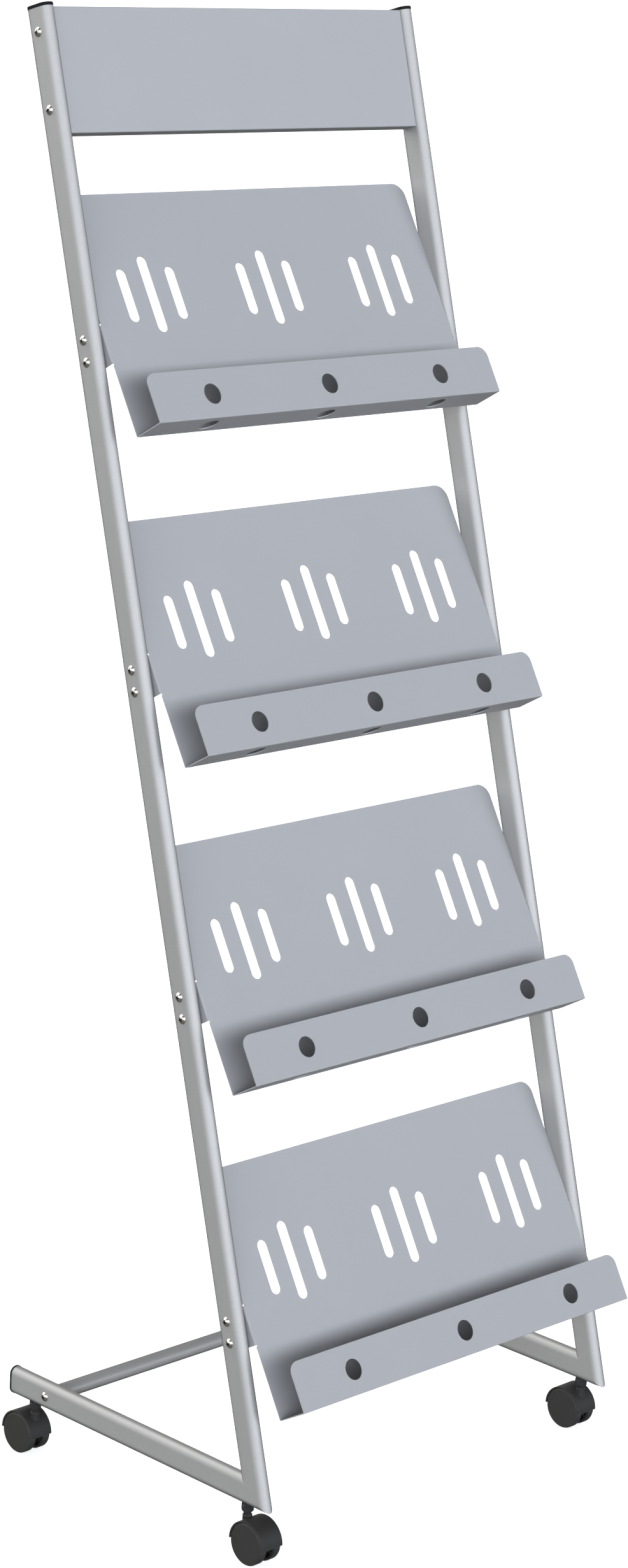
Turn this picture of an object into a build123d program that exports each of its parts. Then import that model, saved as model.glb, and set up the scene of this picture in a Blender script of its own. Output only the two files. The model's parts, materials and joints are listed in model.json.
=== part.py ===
from build123d import *
from math import cos, radians, sin, tan
import os

# A mobile newspaper rack: two leaning side frames on casters carry four tilted
# sheet-metal trays and a plain header panel. Millimetres, +Z up, -Y is the front,
# -X is the left side as the reader stands in front of it. The origin is on the
# floor, in the middle of the rack's box.

# ---- Side frames: flat-oval steel tube ----
FRAME_SPACING = 664.0        # between the centre planes of the two side frames
TUBE_DEPTH = 40.0            # across the flat-oval section, the long way
TUBE_WIDTH = 20.0            # across the flat sides
TUBE_WALL = 1.5
LEAN = 15.0                  # uprights lean back, degrees from vertical
UPRIGHT_LENGTH = 1953.8      # along the axis, from the heel point to the top cut
FOOT_LENGTH = 489.0          # along the axis, from the heel point to the rear cut

# ---- End caps ----
UPRIGHT_CAP_THICKNESS = 4.6
FOOT_CAP_THICKNESS = 3.5
CAP_OVERHANG = 0.5           # the head stands this far outside the tube
CAP_EDGE = 1.2               # rounding of the head
CAP_PLUG_LENGTH = 14.0
CAP_PLUG_WALL = 1.6
CAP_FIT = 0.15               # gap between the plug and the tube's inside

# ---- Sheet metal ----
SHEET = 1.2
BEND_RADIUS = 0.5            # inside radius of every fold
EAR_BEND_RADIUS = 1.0

# ---- Trays ----
SHELF_NAMES = ("top", "upper", "lower", "bottom")
TOP_SHELF_DROP = 376.8       # uprights' top cut down to the top tray's centre
BOTTOM_SHELF_STATION = 285.5 # bottom tray's centre, up the upright from the heel point
SHELF_TILT = 29.6            # back panel, degrees from vertical
SHELF_SIDE_GAP = 1.5         # panel's side edge to the upright's inner face
PANEL_RISE = 144.0           # tray centre to the top edge
PANEL_DROP = 195.0           # tray centre to the underside of the ledge
PANEL_CORNER = 20.0
PANEL_AHEAD = 4.5            # tray centre, in front of the upright's axis
LEDGE_DEPTH = 49.2           # panel face to the lip's outer face
LIP_HEIGHT = 68.0
LIP_CORNER = 15.5
OUTER_GROUP_INSET = 105.5    # panel's side edge to the middle of the outer slot group
SLOT_PITCH = 43.0
LONG_SLOT = 107.5            # end to end
SHORT_SLOT = 74.5
SLOT_WIDTH = 16.5
VIEW_HOLE_DIAMETER = 28.5
LIP_HOLE_RISE = 33.4         # ledge's underside up to the lip holes
LEDGE_HOLE_AHEAD = 23.4      # panel face forward to the ledge holes
EAR_TOP = -38.6              # ear's extent up the panel, from the tray centre
EAR_BOTTOM = -92.0
EAR_REACH = 38.0             # panel face back to the ear's rear edge
EAR_CORNER = 6.0
RELIEF_WIDTH = 1.8           # notch beside the bend, at each end of the ear
RELIEF_HEIGHT = 2.0
SHELF_SCREW_STATIONS = (-54.0, -82.8)   # along the upright from the tray's station

# ---- Header panel ----
HEADER_HEIGHT = 164.4
HEADER_AHEAD = 12.3          # panel face in front of the upright's axis
HEADER_RETURN = 25.0         # depth of the folded edges
HEADER_SCREW_DROPS = (31.2, 132.0)      # below the uprights' top cut

# ---- Cross bar between the feet ----
BAR_DIAMETER = 22.0
BAR_WALL = 1.5
BAR_INSET = 71.8             # ahead of the feet's rear cut
BAR_PLUG_LENGTH = 22.0

# ---- Screws and nuts ----
SCREW_DIAMETER = 6.0
SCREW_HOLE_CLEARANCE = 0.4   # on the diameter
SCREW_LENGTH = 30.0
BAR_SCREW_LENGTH = 38.0
SCREW_HEAD_DIAMETER = 13.0
SCREW_HEAD_HEIGHT = 3.4
SCREW_HEAD_RIM = 0.5           # upright edge under the dome
RECESS_SPAN = 6.8
RECESS_WIDTH = 1.7
RECESS_CENTRE = 3.6            # round middle of the cross
RECESS_DEPTH = 2.4
NUT_ACROSS_FLATS = 10.0
NUT_THICKNESS = 5.0
NUT_CHAMFER = 0.5
RECESS_TURN = 20.0             # degrees, the first screw's recess
RECESS_TURN_STEP = 31.0        # from one screw to the next
RECESS_TURN_SIDE = 17.0        # added on the right, taken off on the left

# ---- Casters ----
FRONT_STEM_STATION = 16.7    # behind the heel point
REAR_STEM_INSET = 40.9       # ahead of the foot's rear cut
WHEEL_DIAMETER = 57.6
WHEEL_WIDTH = 11.5
WHEEL_EDGE = 1.8
WHEEL_RIM = 3.6
WHEEL_FACE = 2.4
WHEEL_HUB_DIAMETER = 13.0
WHEEL_RIB = 1.8
WHEEL_RIBS = 6
CASTER_TRAIL = 17.4          # stem axis to axle
HOOD_WALL = 2.4
HOOD_GAP = 0.8               # wheel to the inside of the hood
WEB_THICKNESS = 13.7         # hood's middle web, between the wheels
WEB_GAP = 0.4                # web to each wheel
HOOD_EDGE = 0.7
HOOD_HUB_DIAMETER = 23.0
BOSS_DIAMETER = 13.2
BOSS_ABOVE_HOOD = 1.3
BOSS_CHAMFER = 0.8
THRUST_GAP = 0.3             # boss to the neck of the stem
NECK_DIAMETER = 9.2
NECK_LENGTH = 3.0
COLLAR_ACROSS_FLATS = 15.0
COLLAR_HEIGHT = 11.0
COLLAR_CHAMFER = 1.4
COLLAR_TAPER = 2.4
STEM_DIAMETER = 10.0
STEM_LENGTH = 22.0
PINTLE_DIAMETER = 8.0
PINTLE_LENGTH = 26.0
PINTLE_GAP = 0.05            # radial
AXLE_DIAMETER = 6.0
AXLE_GAP = 0.05              # radial, in the wheels
AXLE_END_GAP = 0.5
AXLE_CHAMFER = 0.5
WHEEL_BORE_FLOOR = 1.6       # wall left between the blind bore and the wheel's face
SOCKET_DIAMETER = 16.0
SOCKET_LENGTH = 25.0

# Caster corner: (side, end, direction of the wheels from the stem along Y)
CASTERS = {
    "front_left": (-1, "front", -1),
    "front_right": (1, "front", 1),
    "rear_left": (-1, "rear", 1),
    "rear_right": (1, "rear", 1),
}

# ---- Worked-out sizes ----
WHEEL_RADIUS = WHEEL_DIAMETER / 2
HOOD_RADIUS = WHEEL_RADIUS + HOOD_GAP + HOOD_WALL
BOSS_RISE = HOOD_RADIUS + BOSS_ABOVE_HOOD
WEB_HALF = WEB_THICKNESS / 2
CASTER_HALF_WIDTH = WEB_HALF + WEB_GAP + WHEEL_WIDTH
CASTER_HEIGHT = WHEEL_RADIUS + BOSS_RISE + THRUST_GAP + NECK_LENGTH + COLLAR_HEIGHT
HEEL_HEIGHT = CASTER_HEIGHT + TUBE_DEPTH / 2
FRAME_X = FRAME_SPACING / 2
INNER_X = FRAME_X - TUBE_WIDTH / 2
OUTER_X = FRAME_X + TUBE_WIDTH / 2
SCREW_HOLE_RADIUS = (SCREW_DIAMETER + SCREW_HOLE_CLEARANCE) / 2
BAR_STATION = FOOT_LENGTH - BAR_INSET
REAR_STEM_STATION = FOOT_LENGTH - REAR_STEM_INSET
SHELF_WIDTH = 2 * (INNER_X - SHELF_SIDE_GAP)
SLOT_GROUP_PITCH = SHELF_WIDTH / 2 - OUTER_GROUP_INSET   # one group per newspaper place
TOP_SHELF_STATION = UPRIGHT_LENGTH - TOP_SHELF_DROP
SHELF_PITCH = (TOP_SHELF_STATION - BOTTOM_SHELF_STATION) / (len(SHELF_NAMES) - 1)

LEAN_SIN = sin(radians(LEAN))
LEAN_COS = cos(radians(LEAN))
TILT_SIN = sin(radians(SHELF_TILT))
TILT_COS = cos(radians(SHELF_TILT))


def shelf_station(index):
    """Station of a tray's centre along the upright, counted from the top tray."""
    return TOP_SHELF_STATION - index * SHELF_PITCH


def along_upright(station, behind=0.0):
    """(y, z) from the heel point: a station on the upright's axis, moved square to it."""
    return (
        station * LEAN_SIN + behind * LEAN_COS,
        station * LEAN_COS - behind * LEAN_SIN,
    )


def on_shelf(index, rise, ahead):
    """(y, z) from the heel point: up a tray's panel and forward of its face."""
    y, z = along_upright(shelf_station(index), -PANEL_AHEAD)
    return (
        y + rise * TILT_SIN - ahead * TILT_COS,
        z + rise * TILT_COS + ahead * TILT_SIN,
    )


# The heel point is where the axes of an upright and a foot meet. Its place along Y
# puts the origin in the middle of the rack's depth.
LAST_SHELF = len(SHELF_NAMES) - 1
FOLD = BEND_RADIUS + SHEET   # outside radius of a fold
FRONT_REACH = min(
    on_shelf(LAST_SHELF, FOLD - PANEL_DROP, LEDGE_DEPTH - FOLD)[0] - FOLD,
    FRONT_STEM_STATION - CASTER_TRAIL - HOOD_RADIUS,
    -TUBE_DEPTH / 2 / tan(radians(90 - LEAN) / 2),
)
REAR_REACH = max(
    along_upright(
        UPRIGHT_LENGTH + UPRIGHT_CAP_THICKNESS - CAP_EDGE, TUBE_DEPTH / 2 + CAP_OVERHANG - CAP_EDGE
    )[0] + CAP_EDGE,
    REAR_STEM_STATION + CASTER_TRAIL + HOOD_RADIUS,
    FOOT_LENGTH + FOOT_CAP_THICKNESS,
)
HEEL_Y = -(FRONT_REACH + REAR_REACH) / 2


def upright_plane(side, station=0.0, behind=0.0):
    """Plane square to an upright: its x runs to the rear, its normal up the tube."""
    y, z = along_upright(station, behind)
    return Plane(
        origin=(side * FRAME_X, HEEL_Y + y, HEEL_HEIGHT + z),
        x_dir=(0, LEAN_COS, -LEAN_SIN),
        z_dir=(0, LEAN_SIN, LEAN_COS),
    )


def foot_plane(side, station=0.0):
    """Plane square to a foot: its x runs up, its normal to the rear."""
    return Plane(
        origin=(side * FRAME_X, HEEL_Y + station, HEEL_HEIGHT),
        x_dir=(0, 0, 1),
        z_dir=(0, 1, 0),
    )


def shelf_plane(index):
    """Plane of a tray's panel face: x to the right, y up the panel, normal forward."""
    y, z = on_shelf(index, 0, 0)
    return Plane(
        origin=(0, HEEL_Y + y, HEEL_HEIGHT + z),
        x_dir=(1, 0, 0),
        z_dir=(0, -TILT_COS, TILT_SIN),
    )


def mitre_plane(side):
    """Plane of the joint between an upright and its foot; its normal faces the upright."""
    half = radians(90 - LEAN) / 2
    return Plane(
        origin=(side * FRAME_X, HEEL_Y, HEEL_HEIGHT),
        x_dir=(1, 0, 0),
        z_dir=(0, -sin(half), cos(half)),
    )


def cross_pin(x, y, z, radius, length):
    """A cylinder along X, centred on a point given from the heel point."""
    return Pos(x, HEEL_Y + y, HEEL_HEIGHT + z) * Rot(0, 90, 0) * Cylinder(radius, length)


# ---- Fasteners and where they sit ----
def shelf_screw_points(index):
    return [along_upright(shelf_station(index) + offset) for offset in SHELF_SCREW_STATIONS]


def header_screw_points():
    return [along_upright(UPRIGHT_LENGTH - drop) for drop in HEADER_SCREW_DROPS]


def bar_screw_points():
    return [(BAR_STATION, 0.0)]


def dome_head_screw(length):
    """Screw along Z, its shank below the XY plane and its cross-recessed dome above."""
    radius = SCREW_HEAD_DIAMETER / 2
    dome = SCREW_HEAD_HEIGHT - SCREW_HEAD_RIM
    ball = (radius**2 + dome**2) / (2 * dome)
    head = extrude(Circle(radius), SCREW_HEAD_HEIGHT)
    head &= Pos(0, 0, SCREW_HEAD_HEIGHT - ball) * Sphere(ball)
    recess = Rectangle(RECESS_SPAN, RECESS_WIDTH) + Rectangle(RECESS_WIDTH, RECESS_SPAN)
    recess += Circle(RECESS_CENTRE / 2)
    head -= Pos(0, 0, SCREW_HEAD_HEIGHT) * extrude(recess, -RECESS_DEPTH)
    return head + extrude(Circle(SCREW_DIAMETER / 2), -length)


def hex_nut():
    """Nut along Z, seated on the XY plane and standing below it."""
    nut = extrude(RegularPolygon(NUT_ACROSS_FLATS / 2, 6, major_radius=False), -NUT_THICKNESS)
    corner = Cylinder(NUT_ACROSS_FLATS / 2 / cos(radians(30)), NUT_THICKNESS)
    corner = chamfer(corner.edges().group_by(Axis.Z)[0], NUT_CHAMFER)
    nut &= Pos(0, 0, -NUT_THICKNESS / 2) * corner
    return nut - Cylinder(SCREW_DIAMETER / 2, 3 * NUT_THICKNESS)


def facing_out(side, x, point, turn=0.0):
    """Place of a fastener whose Z points away from the rack's middle."""
    y, z = point
    return Pos(side * x, HEEL_Y + y, HEEL_HEIGHT + z) * Rot(0, 90 * side, 0) * Rot(0, 0, turn)


def screws_through_sides(points, length):
    """Screws from outside both frames, each recess left at its own angle."""
    screw = dome_head_screw(length)
    placed = []
    for side in (-1, 1):
        for number, point in enumerate(points):
            turn = RECESS_TURN + RECESS_TURN_STEP * number + RECESS_TURN_SIDE * side
            placed.append(facing_out(side, OUTER_X, point, turn) * screw)
    return Compound(children=placed)


def nuts_inside(points):
    """Nuts on the inner face of the sheet that lies against each frame."""
    nut = hex_nut()
    return Compound(
        children=[
            facing_out(side, INNER_X - SHEET, point) * nut
            for side in (-1, 1)
            for point in points
        ]
    )


# ---- Side frames ----
def tube_section(inset=0.0):
    return SlotOverall(TUBE_DEPTH - 2 * inset, TUBE_WIDTH - 2 * inset)


def upright(side):
    section = tube_section() - tube_section(TUBE_WALL)
    start = upright_plane(side, -TUBE_DEPTH)
    tube = extrude(start * section, UPRIGHT_LENGTH + TUBE_DEPTH)
    tube = split(tube, bisect_by=mitre_plane(side), keep=Keep.TOP)
    points = header_screw_points()
    for index in range(len(SHELF_NAMES)):
        points += shelf_screw_points(index)
    for y, z in points:
        tube -= cross_pin(side * FRAME_X, y, z, SCREW_HOLE_RADIUS, 2 * TUBE_WIDTH)
    return tube


def foot_rail(side):
    section = tube_section() - tube_section(TUBE_WALL)
    start = foot_plane(side, -TUBE_DEPTH)
    tube = extrude(start * section, FOOT_LENGTH + TUBE_DEPTH)
    tube = split(tube, bisect_by=mitre_plane(side), keep=Keep.BOTTOM)
    for station in (FRONT_STEM_STATION, REAR_STEM_STATION):
        socket_room = Cylinder(SOCKET_DIAMETER / 2, TUBE_DEPTH)
        tube -= Pos(side * FRAME_X, HEEL_Y + station, CASTER_HEIGHT) * socket_room
    for y, z in bar_screw_points():
        tube -= cross_pin(side * FRAME_X, y, z, SCREW_HOLE_RADIUS, 2 * TUBE_WIDTH)
    return tube


def end_cap(plane, thickness):
    """Moulded cap: a rounded head on the tube's cut end and a hollow plug inside."""
    head = extrude(tube_section(-CAP_OVERHANG), thickness)
    head = fillet(head.edges().group_by(Axis.Z)[-1], CAP_EDGE)
    plug = tube_section(TUBE_WALL + CAP_FIT)
    plug -= tube_section(TUBE_WALL + CAP_FIT + CAP_PLUG_WALL)
    return plane * (head + extrude(plug, -CAP_PLUG_LENGTH))


# ---- Trays ----
def folded_profile():
    """Side view of a tray: panel, ledge and lip, as (rise, ahead) in the YZ plane."""
    lip_inner = LEDGE_DEPTH - SHEET
    outer = Polyline(
        (PANEL_RISE, -SHEET),
        (-PANEL_DROP, -SHEET),
        (-PANEL_DROP, LEDGE_DEPTH),
        (-PANEL_DROP + LIP_HEIGHT, LEDGE_DEPTH),
        (-PANEL_DROP + LIP_HEIGHT, lip_inner),
        (-PANEL_DROP + SHEET, lip_inner),
        (-PANEL_DROP + SHEET, 0),
        (PANEL_RISE, 0),
        close=True,
    )
    face = make_face(outer)
    outside = [(-PANEL_DROP, -SHEET), (-PANEL_DROP, LEDGE_DEPTH)]
    inside = [(-PANEL_DROP + SHEET, lip_inner), (-PANEL_DROP + SHEET, 0)]
    for corners, radius in ((outside, FOLD), (inside, BEND_RADIUS)):
        picked = [v for v in face.vertices() if any(near(v, corner) for corner in corners)]
        face = fillet(picked, radius)
    return face


def near(vertex, corner):
    return abs(vertex.X - corner[0]) < 0.01 and abs(vertex.Y - corner[1]) < 0.01


def slot_group():
    """One newspaper place's three upright slots."""
    group = SlotOverall(LONG_SLOT, SLOT_WIDTH, rotation=90)
    for x in (-SLOT_PITCH, SLOT_PITCH):
        group += Pos(x, 0) * SlotOverall(SHORT_SLOT, SLOT_WIDTH, rotation=90)
    return group


def ear(side):
    """Tab folded back from a panel's side edge, flat against the upright."""
    outer_x = side * INNER_X
    inner_x = side * (INNER_X - SHEET)
    root_x = side * (SHELF_WIDTH / 2 - RELIEF_WIDTH)
    line = Polyline(
        (root_x, 0), (outer_x, 0), (outer_x, -EAR_REACH),
        (inner_x, -EAR_REACH), (inner_x, -SHEET), (root_x, -SHEET),
        close=True,
    )
    profile = make_face(line)
    for corner, radius in (
        ((outer_x, 0), EAR_BEND_RADIUS + SHEET),
        ((inner_x, -SHEET), EAR_BEND_RADIUS),
    ):
        profile = fillet([v for v in profile.vertices() if near(v, corner)], radius)
    height = EAR_TOP - EAR_BOTTOM
    base = Plane(origin=(0, EAR_TOP, 0), x_dir=(1, 0, 0), z_dir=(0, -1, 0))
    tab = extrude(base * profile, height)
    rear_corners = tab.edges().filter_by(Axis.X).group_by(Axis.Z)[0]
    return fillet(rear_corners, EAR_CORNER)


def shelf(index):
    side_view = Plane(origin=(0, 0, 0), x_dir=(0, 1, 0), z_dir=(1, 0, 0))
    tray = extrude(side_view * folded_profile(), SHELF_WIDTH / 2, both=True)

    # Rounded upper corners of the panel and of the lip.
    lip_top = LIP_HEIGHT - PANEL_DROP
    lip_ahead = LEDGE_DEPTH - SHEET
    across_sheet = tray.edges().filter_by(Axis.Z)
    tray = fillet(across_sheet.filter_by(lambda e: e.center().Y > PANEL_RISE - SHEET), PANEL_CORNER)
    across_sheet = tray.edges().filter_by(Axis.Z)
    tray = fillet(
        across_sheet.filter_by(
            lambda e: e.center().Z > lip_ahead and abs(e.center().Y - lip_top) < SHEET
        ),
        LIP_CORNER,
    )

    # Slots through the panel; round openings through the lip and the ledge.
    for place in (-1, 0, 1):
        x = place * SLOT_GROUP_PITCH
        tray -= Pos(x, 0, 0) * extrude(slot_group(), 2 * SHEET, both=True)
        opening = Cylinder(VIEW_HOLE_DIAMETER / 2, 4 * SHEET)
        tray -= Pos(x, LIP_HOLE_RISE - PANEL_DROP, LEDGE_DEPTH) * opening
        tray -= Pos(x, -PANEL_DROP, LEDGE_HOLE_AHEAD) * Rot(90, 0, 0) * opening

    # Ears, with a relief notch at each end of their bends.
    for side in (-1, 1):
        notch_x = side * (SHELF_WIDTH / 2 - RELIEF_WIDTH / 2)
        for y in (EAR_TOP + RELIEF_HEIGHT / 2, EAR_BOTTOM - RELIEF_HEIGHT / 2):
            tray -= Pos(notch_x, y, 0) * Box(RELIEF_WIDTH, RELIEF_HEIGHT, 4 * SHEET)
        tray += ear(side)
    tray = shelf_plane(index) * tray
    for y, z in shelf_screw_points(index):
        tray -= cross_pin(0, y, z, SCREW_HOLE_RADIUS, 2 * OUTER_X)
    return tray


# ---- Header ----
def header_panel():
    """Shallow tray, open to the rear, that fills the space between the uprights."""
    y, z = along_upright(UPRIGHT_LENGTH - HEADER_HEIGHT / 2, -HEADER_AHEAD)
    face_plane = Plane(
        origin=(0, HEEL_Y + y, HEEL_HEIGHT + z),
        x_dir=(1, 0, 0),
        z_dir=(0, -LEAN_COS, LEAN_SIN),
    )
    tray = extrude(Rectangle(2 * INNER_X, HEADER_HEIGHT), -HEADER_RETURN)
    tray = fillet(tray.edges().group_by(Axis.Z)[-1], FOLD)
    room = extrude(Rectangle(2 * (INNER_X - SHEET), HEADER_HEIGHT - 2 * SHEET), -HEADER_RETURN)
    room = fillet(room.edges().group_by(Axis.Z)[-1], BEND_RADIUS)
    tray -= Pos(0, 0, -SHEET) * room
    tray = face_plane * tray
    for y, z in header_screw_points():
        tray -= cross_pin(0, y, z, SCREW_HOLE_RADIUS, 2 * OUTER_X)
    return tray


# ---- Cross bar ----
def cross_bar():
    section = Circle(BAR_DIAMETER / 2) - Circle(BAR_DIAMETER / 2 - BAR_WALL)
    plane = Plane(origin=(0, HEEL_Y + BAR_STATION, HEEL_HEIGHT), x_dir=(0, 1, 0), z_dir=(1, 0, 0))
    return extrude(plane * section, INNER_X, both=True)


def cross_bar_plugs():
    """Tapped plugs fixed in the bar's ends."""
    plug = Cylinder(BAR_DIAMETER / 2 - BAR_WALL, BAR_PLUG_LENGTH)
    plug -= Cylinder(SCREW_DIAMETER / 2, 2 * BAR_PLUG_LENGTH)
    x = INNER_X - BAR_PLUG_LENGTH / 2
    return Compound(
        children=[
            Pos(side * x, HEEL_Y + BAR_STATION, HEEL_HEIGHT) * Rot(0, 90, 0) * plug
            for side in (-1, 1)
        ]
    )


# ---- Casters, built about the stem's axis with the wheels towards +Y ----
def caster_place(corner):
    side, end, direction = CASTERS[corner]
    station = FRONT_STEM_STATION if end == "front" else REAR_STEM_STATION
    turn = 0 if direction > 0 else 180
    return Pos(side * FRAME_X, HEEL_Y + station, 0) * Rot(0, 0, turn)


def socket():
    """Tapped bush fixed in the foot; the caster's stem screws into it."""
    bush = extrude(Circle(SOCKET_DIAMETER / 2) - Circle(STEM_DIAMETER / 2), SOCKET_LENGTH)
    return Pos(0, 0, CASTER_HEIGHT) * bush


def stem():
    """Threaded shank, hexagonal collar, neck and pintle in one turned piece."""
    collar = extrude(
        RegularPolygon(COLLAR_ACROSS_FLATS / 2, 6, major_radius=False), -COLLAR_HEIGHT
    )
    corners = extrude(Circle(COLLAR_ACROSS_FLATS / 2 / cos(radians(30))), -COLLAR_HEIGHT)
    corners = chamfer(corners.edges().group_by(Axis.Z)[-1], COLLAR_CHAMFER)
    corners = chamfer(corners.edges().group_by(Axis.Z)[0], COLLAR_TAPER)
    piece = collar & corners
    piece += extrude(Circle(STEM_DIAMETER / 2), STEM_LENGTH)
    piece += extrude(Circle(NECK_DIAMETER / 2), -COLLAR_HEIGHT - NECK_LENGTH)
    piece += extrude(
        Circle(PINTLE_DIAMETER / 2), -COLLAR_HEIGHT - NECK_LENGTH - THRUST_GAP - PINTLE_LENGTH
    )
    return Pos(0, 0, CASTER_HEIGHT) * piece


def hood():
    """Half-drum over both wheels, with a middle web that holds the axle and the pintle."""
    side_view = Plane(
        origin=(0, CASTER_TRAIL, WHEEL_RADIUS), x_dir=(0, 1, 0), z_dir=(1, 0, 0)
    )
    upper = Rectangle(4 * HOOD_RADIUS, 2 * HOOD_RADIUS, align=(Align.CENTER, Align.MIN))
    drum = extrude(side_view * (Circle(HOOD_RADIUS) & upper), CASTER_HALF_WIDTH, both=True)
    drum = fillet(drum.faces().filter_by(Axis.X).edges().filter_by(GeomType.CIRCLE), HOOD_EDGE)
    drum += extrude(side_view * Circle(HOOD_HUB_DIAMETER / 2), WEB_HALF, both=True)

    boss = extrude(Circle(BOSS_DIAMETER / 2), BOSS_RISE)
    boss = chamfer(boss.edges().group_by(Axis.Z)[-1], BOSS_CHAMFER)
    drum += Pos(0, 0, WHEEL_RADIUS) * boss

    room_radius = WHEEL_RADIUS + HOOD_GAP
    room = Rot(0, 90, 0) * Cylinder(room_radius, CASTER_HALF_WIDTH)
    for sign in (-1, 1):
        x = sign * (WEB_HALF + CASTER_HALF_WIDTH / 2)
        drum -= Pos(x, CASTER_TRAIL, WHEEL_RADIUS) * room

    bore_depth = PINTLE_LENGTH + 2 * THRUST_GAP
    bore = extrude(Circle(PINTLE_DIAMETER / 2 + PINTLE_GAP), -bore_depth)
    drum -= Pos(0, 0, WHEEL_RADIUS + BOSS_RISE) * bore
    drum -= Pos(0, CASTER_TRAIL, WHEEL_RADIUS) * Rot(0, 90, 0) * Cylinder(
        AXLE_DIAMETER / 2, 2 * WEB_THICKNESS
    )
    return drum


def axle():
    half = CASTER_HALF_WIDTH - WHEEL_BORE_FLOOR - AXLE_END_GAP
    rod = Cylinder(AXLE_DIAMETER / 2, 2 * half)
    rod = chamfer(rod.edges(), AXLE_CHAMFER)
    return Pos(0, CASTER_TRAIL, WHEEL_RADIUS) * Rot(0, 90, 0) * rod


def wheel(sign):
    """Moulded wheel on the +X or -X side: closed outer face, ribbed on the inside."""
    body = extrude(Circle(WHEEL_RADIUS), WHEEL_WIDTH)
    body = fillet(body.edges().group_by(Axis.Z)[-1], WHEEL_EDGE)
    body = fillet(body.edges().group_by(Axis.Z)[0], WHEEL_EDGE / 2)
    hollow_depth = WHEEL_WIDTH - WHEEL_FACE
    rim_inside = WHEEL_RADIUS - WHEEL_RIM
    hollow = Circle(rim_inside) - Circle(WHEEL_HUB_DIAMETER / 2)
    for number in range(WHEEL_RIBS):
        rib = Pos(rim_inside / 2, 0) * Rectangle(rim_inside + WHEEL_RIM / 2, WHEEL_RIB)
        hollow -= Rot(0, 0, number * 360 / WHEEL_RIBS) * rib
    body -= extrude(hollow, hollow_depth)
    bore_depth = WHEEL_WIDTH - WHEEL_BORE_FLOOR
    body -= extrude(Circle(AXLE_DIAMETER / 2 + AXLE_GAP), bore_depth)
    inner_face = CASTER_HALF_WIDTH - WHEEL_WIDTH
    placed = Rot(0, 90 * sign, 0) * Pos(0, 0, inner_face) * body
    return Pos(0, CASTER_TRAIL, WHEEL_RADIUS) * placed


def caster_pieces(corner):
    """Pieces of one caster by name, with the wheels told apart by their side of the rack."""
    side, _, direction = CASTERS[corner]
    place = caster_place(corner)
    outer_sign = side * direction
    return {
        f"caster_{corner}_socket": place * socket(),
        f"caster_{corner}_stem": place * stem(),
        f"caster_{corner}_hood": place * hood(),
        f"caster_{corner}_axle": place * axle(),
        f"caster_{corner}_wheel_outer": place * wheel(outer_sign),
        f"caster_{corner}_wheel_inner": place * wheel(-outer_sign),
    }


def all_nodes():
    nodes = {}
    for name, side in (("left", -1), ("right", 1)):
        nodes[f"upright_{name}"] = upright(side)
        nodes[f"foot_rail_{name}"] = foot_rail(side)
        upright_end = upright_plane(side, UPRIGHT_LENGTH)
        nodes[f"upright_cap_{name}"] = end_cap(upright_end, UPRIGHT_CAP_THICKNESS)
        nodes[f"foot_cap_{name}"] = end_cap(foot_plane(side, FOOT_LENGTH), FOOT_CAP_THICKNESS)
    nodes["header_panel"] = header_panel()
    nodes["header_screws"] = screws_through_sides(header_screw_points(), SCREW_LENGTH)
    nodes["header_nuts"] = nuts_inside(header_screw_points())
    for index, name in enumerate(SHELF_NAMES):
        points = shelf_screw_points(index)
        nodes[f"shelf_{name}"] = shelf(index)
        nodes[f"shelf_{name}_screws"] = screws_through_sides(points, SCREW_LENGTH)
        nodes[f"shelf_{name}_nuts"] = nuts_inside(points)
    nodes["cross_bar"] = cross_bar()
    nodes["cross_bar_plugs"] = cross_bar_plugs()
    nodes["cross_bar_screws"] = screws_through_sides(bar_screw_points(), BAR_SCREW_LENGTH)
    for corner in CASTERS:
        nodes.update(caster_pieces(corner))
    return nodes


os.makedirs("parts", exist_ok=True)
for node_name, node_shape in all_nodes().items():
    export_step(node_shape, f"parts/{node_name}.step")
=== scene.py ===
import json
from math import radians

import bpy
from mathutils import Matrix, Vector

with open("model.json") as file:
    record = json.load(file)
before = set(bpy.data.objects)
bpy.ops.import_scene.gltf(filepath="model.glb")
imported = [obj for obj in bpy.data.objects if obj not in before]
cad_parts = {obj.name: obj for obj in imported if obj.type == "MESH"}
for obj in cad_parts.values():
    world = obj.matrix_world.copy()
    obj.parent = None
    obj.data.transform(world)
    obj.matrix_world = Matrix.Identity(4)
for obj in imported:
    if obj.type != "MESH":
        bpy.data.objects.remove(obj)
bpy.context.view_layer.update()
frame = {"nodes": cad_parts, "record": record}
scene = bpy.context.scene
nodes = frame["nodes"]

# ---- Camera: metres and degrees in the rack's own frame ----
CAMERA_PLACE = Vector((-3.4870, -3.4201, 2.1427))
CAMERA_TURN = 45.119         # from looking to the rear towards the reader's right
CAMERA_DROP = 13.391         # looking down
CAMERA_ROLL = 2.390
CAMERA_LENS = 84.614         # mm
CAMERA_SENSOR = 36.0         # mm, along the long side
CAMERA_SHIFT_Y = -0.0086
CAMERA_REACH = 500.0         # farthest thing drawn, past the floor's edge

# ---- Floor and backdrop ----
FLOOR_REACH = 150.0
FLOOR_COLOUR = (0.92, 0.92, 0.92, 1)
FLOOR_GLOW = 0.62
FLOOR_BOUNCE = (0.155, 0.145, 0.128, 1)
BACKDROP_COLOUR = (1.0, 1.0, 1.0, 1)

# ---- Studio light: even walls that fade into a dim ceiling, and soft panels ----
WALL_COLOUR = (0.20, 0.20, 0.20, 1)
CEILING_FACTOR = 0.05        # the ceiling's share of the walls' brightness
CEILING_HEIGHT = 0.62        # upward part of a direction where the ceiling is reached
WALL_HEIGHT = 0.06           # and below which the walls are at full brightness

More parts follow.
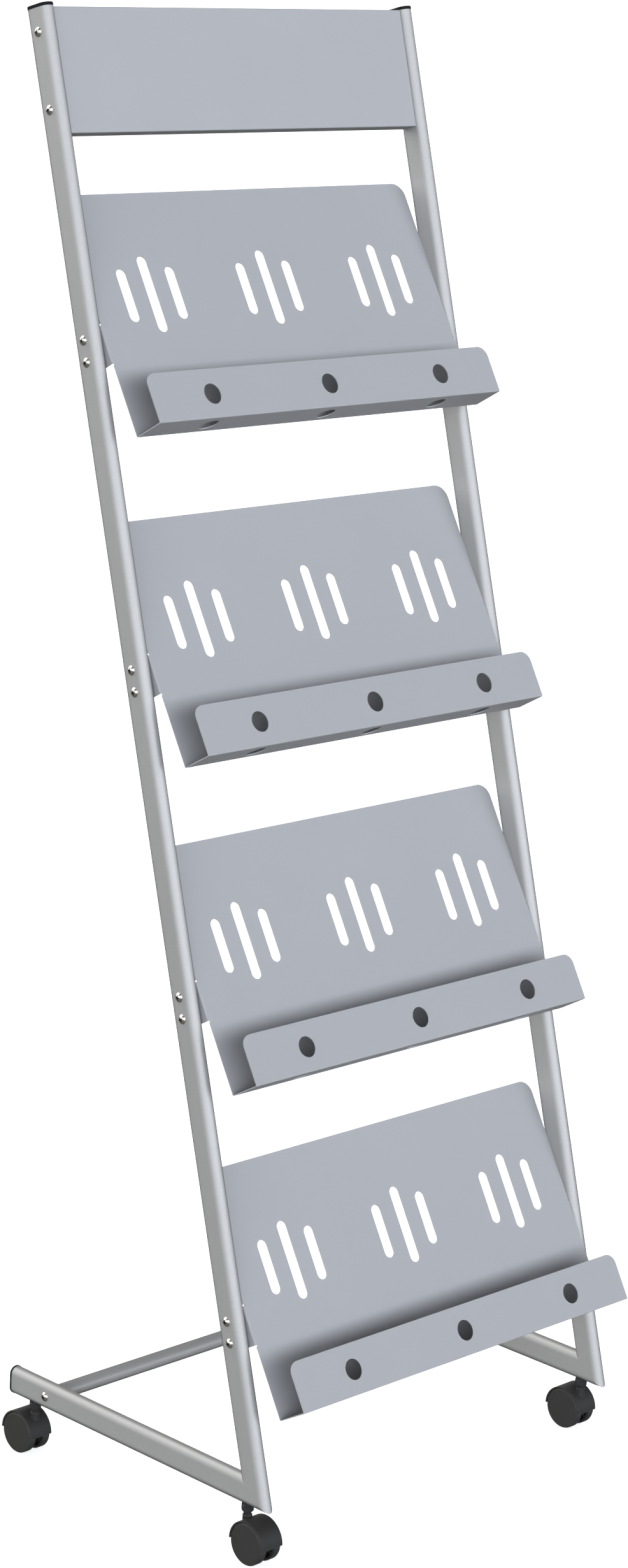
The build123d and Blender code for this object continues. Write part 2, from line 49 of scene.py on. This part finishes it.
# Each panel is its colour, its aim, and the closeness to the aim (a cosine) where it
# starts and where it is at full brightness.
FRONT_PANEL = ((7.05, 7.32, 7.90, 1), Vector((-0.30, -0.95, 0.10)).normalized(), 0.15, 0.95)
SIDE_PANEL = ((2.15, 2.12, 2.05, 1), Vector((-0.95, 0.30, 0.08)).normalized(), 0.15, 0.95)
BACK_PANEL = ((1.60, 1.60, 1.57, 1), Vector((0.55, 0.83, 0.05)).normalized(), -0.10, 0.95)
HIGH_PANEL = ((4.2, 4.16, 4.05, 1), Vector((-0.28, 0.75, 0.62)).normalized(), 0.86, 0.96)

# ---- Powder coat: how its noises add up ----
DRIFT_SHARE = 0.7            # of the tone
GRAIN_SHARE = 0.3            # of the tone
GRAIN_RELIEF = 0.35          # grain height beside peel height

# ---- Lighter edges: partly worn coat, partly painted highlight ----
EDGE_RADIUS = 0.0009
EDGE_SAMPLES = 4
EDGE_START = 0.995           # cosine between the face and the rounded normal
EDGE_FULL = 0.85

# ---- Tube coat at a glancing angle: painted shade along the outline ----
GLANCING_SHADE_COLOUR = (0.035, 0.036, 0.036, 1)
GLANCING_START = 0.38
GLANCING_FULL = 0.90
GLANCING_AMOUNT = 0.85

# ---- Painted shade in the recesses of plated pieces ----
RECESS_REACH = 0.003
RECESS_SAMPLES = 8
RECESS_SHADE_COLOUR = (0.02, 0.019, 0.018, 1)
RECESS_START = 0.75          # openness where it starts to darken
RECESS_FULL = 0.45

# ---- Soft edges on the folded sheet and the turned pieces ----
SHEET_EDGE = 0.00025
TURNED_EDGE = 0.0003
ROUND_STEPS = 2
SHARP_ANGLE = radians(35)
JOIN_REACH = 1e-5

# ---- Kinds of group socket, and where the Mix node keeps its colour sockets ----
NUMBER = "NodeSocketFloat"
COLOUR = "NodeSocketColor"
MIX_FACTOR, MIX_A, MIX_B = 0, 6, 7
MIX_RESULT = 2


# =====================================================================
# Node helpers
# =====================================================================
def add(tree, kind, **settings):
    """A node of one kind with its properties set."""
    node = tree.nodes.new(kind)
    for name, value in settings.items():
        setattr(node, name, value)
    return node


def put_value(tree, socket, value):
    """Link a socket to an input, or write a number or a colour on it."""
    if isinstance(value, bpy.types.NodeSocket):
        tree.links.new(value, socket)
    else:
        socket.default_value = value


def calc(tree, operation, a, b, clamp=False):
    """A Math node; a and b are numbers or sockets. Returns its output."""
    node = add(tree, "ShaderNodeMath", operation=operation, use_clamp=clamp)
    put_value(tree, node.inputs[0], a)
    put_value(tree, node.inputs[1], b)
    return node.outputs[0]


def around_zero(tree, value, amount):
    """A noise of 0 to 1 moved to swing about zero, times an amount."""
    return calc(tree, "MULTIPLY", calc(tree, "SUBTRACT", value, 0.5), amount)


def scale_colour(tree, colour, factor):
    """A colour socket times a factor socket."""
    node = add(tree, "ShaderNodeVectorMath", operation="SCALE")
    tree.links.new(colour, node.inputs[0])
    tree.links.new(factor, node.inputs["Scale"])
    return node.outputs[0]


def mix_colour(tree, factor, a, b):
    """A colour Mix node; each value is a number, a colour or a socket."""
    node = add(tree, "ShaderNodeMix", data_type="RGBA")
    for slot, value in ((MIX_FACTOR, factor), (MIX_A, a), (MIX_B, b)):
        put_value(tree, node.inputs[slot], value)
    return node.outputs[MIX_RESULT]


def smooth_range(tree, value, start, full, low=0.0, high=1.0):
    """Low before start, high after full, and a smooth step between them."""
    node = add(tree, "ShaderNodeMapRange", interpolation_type="SMOOTHSTEP")
    tree.links.new(value, node.inputs[0])
    for slot, number in zip(node.inputs[1:5], (start, full, low, high)):
        slot.default_value = number
    return node.outputs[0]


def closeness(tree, direction, other):
    """The cosine between two directions; other is a socket or a fixed vector."""
    node = add(tree, "ShaderNodeVectorMath", operation="DOT_PRODUCT")
    tree.links.new(direction, node.inputs[0])
    put_value(tree, node.inputs[1], other)
    return node.outputs["Value"]


def noise(tree, lump_size, detail):
    """Noise in the piece's own space; lump_size is a socket in metres."""
    texture = add(tree, "ShaderNodeTexNoise")
    texture.inputs["Detail"].default_value = detail
    place = add(tree, "ShaderNodeTexCoord").outputs["Object"]
    tree.links.new(place, texture.inputs["Vector"])
    tree.links.new(calc(tree, "DIVIDE", 1.0, lump_size), texture.inputs["Scale"])
    return texture.outputs[0]


def new_group(name, inputs, outputs):
    """An empty shader node group; sockets are (name, kind, default)."""
    tree = bpy.data.node_groups.new(name, "ShaderNodeTree")
    for title, kind, default in inputs:
        socket = tree.interface.new_socket(title, in_out="INPUT", socket_type=kind)
        socket.default_value = default
    for title, kind in outputs:
        tree.interface.new_socket(title, in_out="OUTPUT", socket_type=kind)
    start = tree.nodes.new("NodeGroupInput")
    end = tree.nodes.new("NodeGroupOutput")
    return tree, start.outputs, end.inputs


# =====================================================================
# Shared surface effects
# =====================================================================
def coat_group():
    """Baked powder coat: lumpy like fine orange peel, with a slow drift in tone."""
    tree, get, put = new_group(
        "powder_coat",
        [
            ("Color", COLOUR, (0.5, 0.5, 0.5, 1)),
            ("Tone Change", NUMBER, 0.03),
            ("Drift Size", NUMBER, 0.12),
            ("Peel Size", NUMBER, 0.0016),
            ("Grain Size", NUMBER, 0.0004),
            ("Roughness", NUMBER, 0.5),
            ("Roughness Change", NUMBER, 0.05),
        ],
        [("Color", COLOUR), ("Roughness", NUMBER), ("Height", NUMBER)],
    )
    drift = noise(tree, get["Drift Size"], detail=3)
    peel = noise(tree, get["Peel Size"], detail=1)
    grain = noise(tree, get["Grain Size"], detail=0)
    tone = calc(
        tree, "ADD",
        calc(tree, "MULTIPLY", drift, DRIFT_SHARE),
        calc(tree, "MULTIPLY", grain, GRAIN_SHARE),
    )
    tone = calc(tree, "ADD", around_zero(tree, tone, get["Tone Change"]), 1.0)
    tree.links.new(scale_colour(tree, get["Color"], tone), put["Color"])
    rough = around_zero(tree, peel, get["Roughness Change"])
    tree.links.new(calc(tree, "ADD", rough, get["Roughness"]), put["Roughness"])
    height = calc(tree, "ADD", peel, calc(tree, "MULTIPLY", grain, GRAIN_RELIEF))
    tree.links.new(height, put["Height"])
    return tree


def flake_group():
    """Tiny aluminium flakes in a silver coat: bright and dim specks."""
    tree, get, put = new_group(
        "metal_flake",
        [
            ("Color", COLOUR, (0.6, 0.6, 0.6, 1)),
            ("Flake Size", NUMBER, 0.0006),
            ("Sparkle", NUMBER, 0.1),
            ("Metallic", NUMBER, 0.6),
        ],
        [("Color", COLOUR), ("Metallic", NUMBER)],
    )
    cells = add(tree, "ShaderNodeTexVoronoi")
    place = add(tree, "ShaderNodeTexCoord").outputs["Object"]
    tree.links.new(place, cells.inputs["Vector"])
    tree.links.new(calc(tree, "DIVIDE", 1.0, get["Flake Size"]), cells.inputs["Scale"])
    flake = add(tree, "ShaderNodeSeparateColor")
    tree.links.new(cells.outputs["Color"], flake.inputs[0])
    tone = calc(tree, "ADD", around_zero(tree, flake.outputs[0], get["Sparkle"]), 1.0)
    tree.links.new(scale_colour(tree, get["Color"], tone), put["Color"])
    shine = around_zero(tree, flake.outputs[1], get["Sparkle"])
    metallic = calc(tree, "ADD", shine, get["Metallic"], clamp=True)
    tree.links.new(metallic, put["Metallic"])
    return tree


def edge_group():
    """Where a surface turns sharply the colour is lighter: partly a thin, worn coat, partly
    a painted highlight.
    """
    tree, get, put = new_group(
        "worn_and_lit_edge",
        [
            ("Color", COLOUR, (0.5, 0.5, 0.5, 1)),
            ("Edge Color", COLOUR, (0.8, 0.8, 0.8, 1)),
            ("Amount", NUMBER, 0.5),
        ],
        [("Color", COLOUR)],
    )
    # Painted highlight: the colour turns lighter along sharp edges, where a thin line of
    # reflected light falls; partly also worn coat.
    rounded = add(tree, "ShaderNodeBevel", samples=EDGE_SAMPLES)
    rounded.inputs["Radius"].default_value = EDGE_RADIUS
    normal = add(tree, "ShaderNodeNewGeometry").outputs["Normal"]
    agreement = closeness(tree, rounded.outputs[0], normal)
    edge = smooth_range(tree, agreement, EDGE_START, EDGE_FULL)
    wear_and_highlight = calc(tree, "MULTIPLY", edge, get["Amount"], clamp=True)
    tree.links.new(mix_colour(tree, wear_and_highlight, get["Color"], get["Edge Color"]), put["Color"])
    return tree


POWDER_COAT = coat_group()
METAL_FLAKE = flake_group()
WORN_AND_LIT_EDGE = edge_group()


# =====================================================================
# Material helpers
# =====================================================================
def use(tree, group, **values):
    """An effect in a material, with its own values; a value may be a socket."""
    node = add(tree, "ShaderNodeGroup", node_tree=group)
    for name, value in values.items():
        put_value(tree, node.inputs[name.replace("_", " ")], value)
    return node.outputs


def start_material(name, **settings):
    """A material with one Principled shader; settings go on its own sockets."""
    material = bpy.data.materials.new(name)
    material.use_nodes = True
    tree = material.node_tree
    shader = tree.nodes["Principled BSDF"]
    for socket, value in settings.items():
        shader.inputs[socket.replace("_", " ")].default_value = value
    return material, tree, shader


def dress(tree, shader, colour, coat, relief):
    """A colour, and the coat's roughness and fine relief in metres, on the shader."""
    tree.links.new(colour, shader.inputs["Base Color"])
    tree.links.new(coat["Roughness"], shader.inputs["Roughness"])
    bump = add(tree, "ShaderNodeBump")
    bump.inputs["Distance"].default_value = relief
    tree.links.new(coat["Height"], bump.inputs["Height"])
    tree.links.new(bump.outputs[0], shader.inputs["Normal"])


def worn_and_lit_edge_coat(name, coat_values, edge_colour, edge_amount, relief, **settings):
    """A coat with lighter edges, partly worn and partly a painted highlight, over one
    Principled shader.
    """
    material, tree, shader = start_material(name, **settings)
    coat = use(tree, POWDER_COAT, **coat_values)
    edge = use(
        tree, WORN_AND_LIT_EDGE, Color=coat["Color"], Edge_Color=edge_colour, Amount=edge_amount
    )
    dress(tree, shader, edge["Color"], coat, relief)
    return material


# =====================================================================
# Finishes
# =====================================================================
def sheet_paint():
    """Matt blue-grey powder coat on the trays and the header."""
    coat = dict(
        Color=(0.312, 0.3185, 0.3295, 1), Tone_Change=0.05, Drift_Size=0.10,
        Peel_Size=0.0015, Grain_Size=0.0005, Roughness=0.56, Roughness_Change=0.08,
    )
    # The lighter, bluer edge colour is a painted highlight along the cut edges.
    return worn_and_lit_edge_coat(
        "sheet_powder_coat", coat, edge_colour=(0.56, 0.585, 0.62, 1), edge_amount=0.25,
        relief=0.00006, Specular_IOR_Level=0.35,
    )


def tube_paint():
    """Satin silver coat with metal flakes on the flat-oval tube and the round bar.

    Its colour is painted darker at a glancing angle: painted shade along the tube's
    outline.
    """
    material, tree, shader = start_material("tube_silver_coat", Specular_IOR_Level=0.5)
    coat = use(
        tree, POWDER_COAT, Color=(0.325, 0.327, 0.322, 1), Tone_Change=0.05,
        Drift_Size=0.06, Peel_Size=0.0022, Grain_Size=0.0006, Roughness=0.42,
        Roughness_Change=0.10,
    )
    flake = use(
        tree, METAL_FLAKE, Color=coat["Color"], Flake_Size=0.0007, Sparkle=0.10,
        Metallic=0.18,
    )
    # Painted shade: the colour goes dark where the tube is seen edge-on.
    facing = add(tree, "ShaderNodeLayerWeight").outputs["Facing"]
    glancing = smooth_range(
        tree, facing, GLANCING_START, GLANCING_FULL, high=GLANCING_AMOUNT
    )
    colour = mix_colour(tree, glancing, flake["Color"], GLANCING_SHADE_COLOUR)
    tree.links.new(flake["Metallic"], shader.inputs["Metallic"])
    dress(tree, shader, colour, coat, relief=0.00008)
    return material


def plated(name, colour, roughness, relief):
    """Plated steel with painted shade in any recess: nickel screws or duller zinc pieces.
    """
    material, tree, shader = start_material(name, Metallic=1.0)
    coat = use(
        tree, POWDER_COAT, Color=colour, Tone_Change=0.12, Drift_Size=0.004,
        Peel_Size=0.0012, Grain_Size=0.0003, Roughness=roughness, Roughness_Change=0.10,
    )
    # Painted shade: the colour goes dark where the surface is closed in, as in a screw's
    # cross recess.
    openness = add(
        tree, "ShaderNodeAmbientOcclusion", samples=RECESS_SAMPLES, only_local=True
    )
    openness.inputs["Distance"].default_value = RECESS_REACH
    recess = smooth_range(tree, openness.outputs["AO"], RECESS_START, RECESS_FULL)
    colour = mix_colour(tree, recess, coat["Color"], RECESS_SHADE_COLOUR)
    dress(tree, shader, colour, coat, relief)
    return material


def moulded(name, colour, edge_colour, roughness, relief, shine=0.32):
    """Black moulded plastic: a fine spark-eroded skin, and edges painted lighter as a
    highlight.
    """
    coat = dict(
        Color=colour, Tone_Change=0.12, Drift_Size=0.02, Peel_Size=0.0009,
        Grain_Size=0.00035, Roughness=roughness, Roughness_Change=0.12,
    )
    return worn_and_lit_edge_coat(
        name, coat, edge_colour, edge_amount=0.5, relief=relief, Specular_IOR_Level=shine
    )


def black_steel():
    """Blackened steel of the casters' stems and the sockets they turn in."""
    coat = dict(
        Color=(0.030, 0.031, 0.033, 1), Tone_Change=0.2, Drift_Size=0.006,
        Peel_Size=0.0010, Grain_Size=0.0004, Roughness=0.42, Roughness_Change=0.12,
    )
    # The lighter edge colour is partly worn oxide and partly a painted highlight.
    return worn_and_lit_edge_coat(
        "stem_black_oxide", coat, edge_colour=(0.09, 0.09, 0.092, 1), edge_amount=0.6,
        relief=0.00004, Metallic=0.5,
    )


FINISHES = {
    "sheet_paint": sheet_paint(),
    "tube_paint": tube_paint(),
    "bright_screw": plated(
        "screw_nickel", (0.72, 0.70, 0.66, 1), roughness=0.24, relief=0.00001
    ),
    "zinc_steel": plated(
        "zinc_plate", (0.62, 0.63, 0.65, 1), roughness=0.34, relief=0.00002
    ),
    "black_steel": black_steel(),
    "cap_plastic": moulded(
        "cap_black_plastic", (0.005, 0.005, 0.006, 1), (0.03, 0.03, 0.032, 1),
        roughness=0.55, relief=0.00004, shine=0.10,
    ),
    # The lighter edge colours of the hood and the wheel are painted highlights along their
    # rims.
    "hood_plastic": moulded(
        "hood_black_plastic", (0.0165, 0.0160, 0.0150, 1), (0.16, 0.16, 0.155, 1),
        roughness=0.64, relief=0.00004,
    ),
    "wheel_plastic": moulded(
        "wheel_black_plastic", (0.030, 0.030, 0.029, 1), (0.08, 0.08, 0.078, 1),
        roughness=0.46, relief=0.00005,
    ),
}


# =====================================================================
# Pieces: finish and soft edges
# =====================================================================
def soften_edges(piece, width):
    """A small round on every sharp edge of a CAD piece, with flat faces kept flat."""
    weld = piece.modifiers.new("join_faces", "WELD")
    weld.merge_threshold = JOIN_REACH
    rounding = piece.modifiers.new("edge_round", "BEVEL")
    rounding.width = width
    rounding.segments = ROUND_STEPS
    rounding.limit_method = "ANGLE"
    rounding.angle_limit = SHARP_ANGLE
    flat = piece.modifiers.new("flat_faces", "WEIGHTED_NORMAL")
    flat.mode = "FACE_AREA_WITH_ANGLE"


for part in frame["record"]["subparts"]:
    piece = nodes[part["node"]]
    finish = part["material_slot"]
    piece.data.materials.clear()
    piece.data.materials.append(FINISHES[finish])
    if finish == "sheet_paint":
        soften_edges(piece, SHEET_EDGE)
    elif finish == "black_steel" or part["node"].endswith("nuts"):
        soften_edges(piece, TURNED_EDGE)


# =====================================================================
# Studio: floor, soft light, camera
# =====================================================================
def make_floor():
    """Pale floor, white to the eye, that bounces less light upwards than it shows."""
    mesh = bpy.data.meshes.new("floor")
    reach = FLOOR_REACH
    mesh.from_pydata(
        [(-reach, -reach, 0), (reach, -reach, 0), (reach, reach, 0), (-reach, reach, 0)],
        [], [(0, 1, 2, 3)],
    )
    floor = bpy.data.objects.new("floor", mesh)
    scene.collection.objects.link(floor)
    material, tree, shader = start_material(
        "floor_pale", Roughness=0.9, Specular_IOR_Level=0.1,
        Emission_Color=BACKDROP_COLOUR,
    )
    seen = add(tree, "ShaderNodeLightPath").outputs["Is Camera Ray"]
    colour = mix_colour(tree, seen, FLOOR_BOUNCE, FLOOR_COLOUR)
    tree.links.new(colour, shader.inputs["Base Color"])
    glow = calc(tree, "MULTIPLY", seen, FLOOR_GLOW)
    tree.links.new(glow, shader.inputs["Emission Strength"])
    mesh.materials.append(material)


def add_panel(tree, direction, light, panel):
    """The light so far, with one big soft panel blended in around its aim."""
    colour, aim, start, full = panel
    amount = smooth_range(tree, closeness(tree, direction, aim), start, full)
    return mix_colour(tree, amount, light, colour)


def make_world():
    """Even walls that fade into a dim ceiling, and four soft panels.

    A large cool panel stands in front, neutral ones at the left and behind, and a
    small one hangs high at the rear. The camera itself sees plain white.
    """
    world = bpy.data.worlds.new("studio")
    scene.world = world
    world.use_nodes = True
    tree = world.node_tree
    direction = add(tree, "ShaderNodeTexCoord").outputs["Generated"]
    light = WALL_COLOUR
    for panel in (BACK_PANEL, SIDE_PANEL, FRONT_PANEL):
        light = add_panel(tree, direction, light, panel)
    split = add(tree, "ShaderNodeSeparateXYZ")
    tree.links.new(direction, split.inputs[0])
    fade = smooth_range(
        tree, split.outputs["Z"], CEILING_HEIGHT, WALL_HEIGHT, CEILING_FACTOR, 1.0
    )
    light = scale_colour(tree, light, fade)
    light = add_panel(tree, direction, light, HIGH_PANEL)
    seen = add(tree, "ShaderNodeLightPath").outputs["Is Camera Ray"]
    light = mix_colour(tree, seen, light, BACKDROP_COLOUR)
    tree.links.new(light, tree.nodes["Background"].inputs["Color"])


def make_camera():
    """The scene's camera, from the place, turn, drop and roll above."""
    data = bpy.data.cameras.new("camera")
    data.lens = CAMERA_LENS
    data.sensor_width = CAMERA_SENSOR
    data.shift_y = CAMERA_SHIFT_Y
    data.clip_end = CAMERA_REACH
    camera = bpy.data.objects.new("camera", data)
    turn = Matrix.Rotation(-radians(CAMERA_TURN), 4, "Z")
    tilt = Matrix.Rotation(radians(90 - CAMERA_DROP), 4, "X")
    roll = Matrix.Rotation(radians(CAMERA_ROLL), 4, "Z")
    camera.matrix_world = Matrix.Translation(CAMERA_PLACE) @ turn @ tilt @ roll
    scene.collection.objects.link(camera)
    scene.camera = camera


make_floor()
make_world()
make_camera()
scene.view_settings.view_transform = "Standard"
